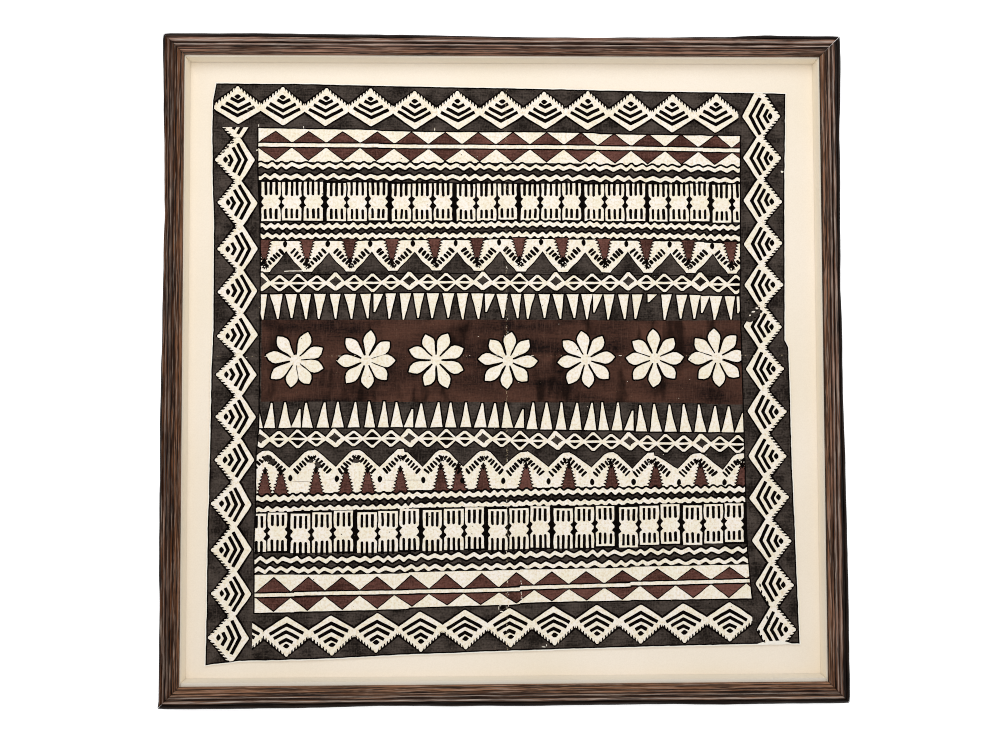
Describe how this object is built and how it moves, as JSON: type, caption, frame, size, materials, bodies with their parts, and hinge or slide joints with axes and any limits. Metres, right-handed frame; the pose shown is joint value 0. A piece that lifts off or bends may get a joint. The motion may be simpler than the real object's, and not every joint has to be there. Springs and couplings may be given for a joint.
{
  "type": "tapa bark cloth in a wooden box frame",
  "caption": "Flat painted bark cloth with uneven edges, floated on a cream board in a shallow ridged dark wood box frame.",
  "frame": {"origin": "centre of the backing board's underside, the face it rests on", "axes": "+Z out of the painted face, +X to the right across the face, +Y towards the top of the pattern"},
  "size_m": [0.683, 0.67, 0.0299],
  "materials": {
    "bark_cloth": "matte beaten bark, painted black and brown on cream",
    "stained_wood": "dark stained open grain, satin",
    "cream_card": "matte cream card",
    "brown_hardboard": "smooth brown hardboard"
  },
  "bodies": {
    "root": {"tapa_cloth": "bark_cloth", "frame_rail_top": "stained_wood", "frame_rail_bottom": "stained_wood", "frame_rail_left": "stained_wood", "frame_rail_right": "stained_wood", "spacer_top": "cream_card", "spacer_bottom": "cream_card", "spacer_left": "cream_card", "spacer_right": "cream_card", "mount_board": "cream_card", "backing_board": "brown_hardboard"}
  },
  "joints": []
}
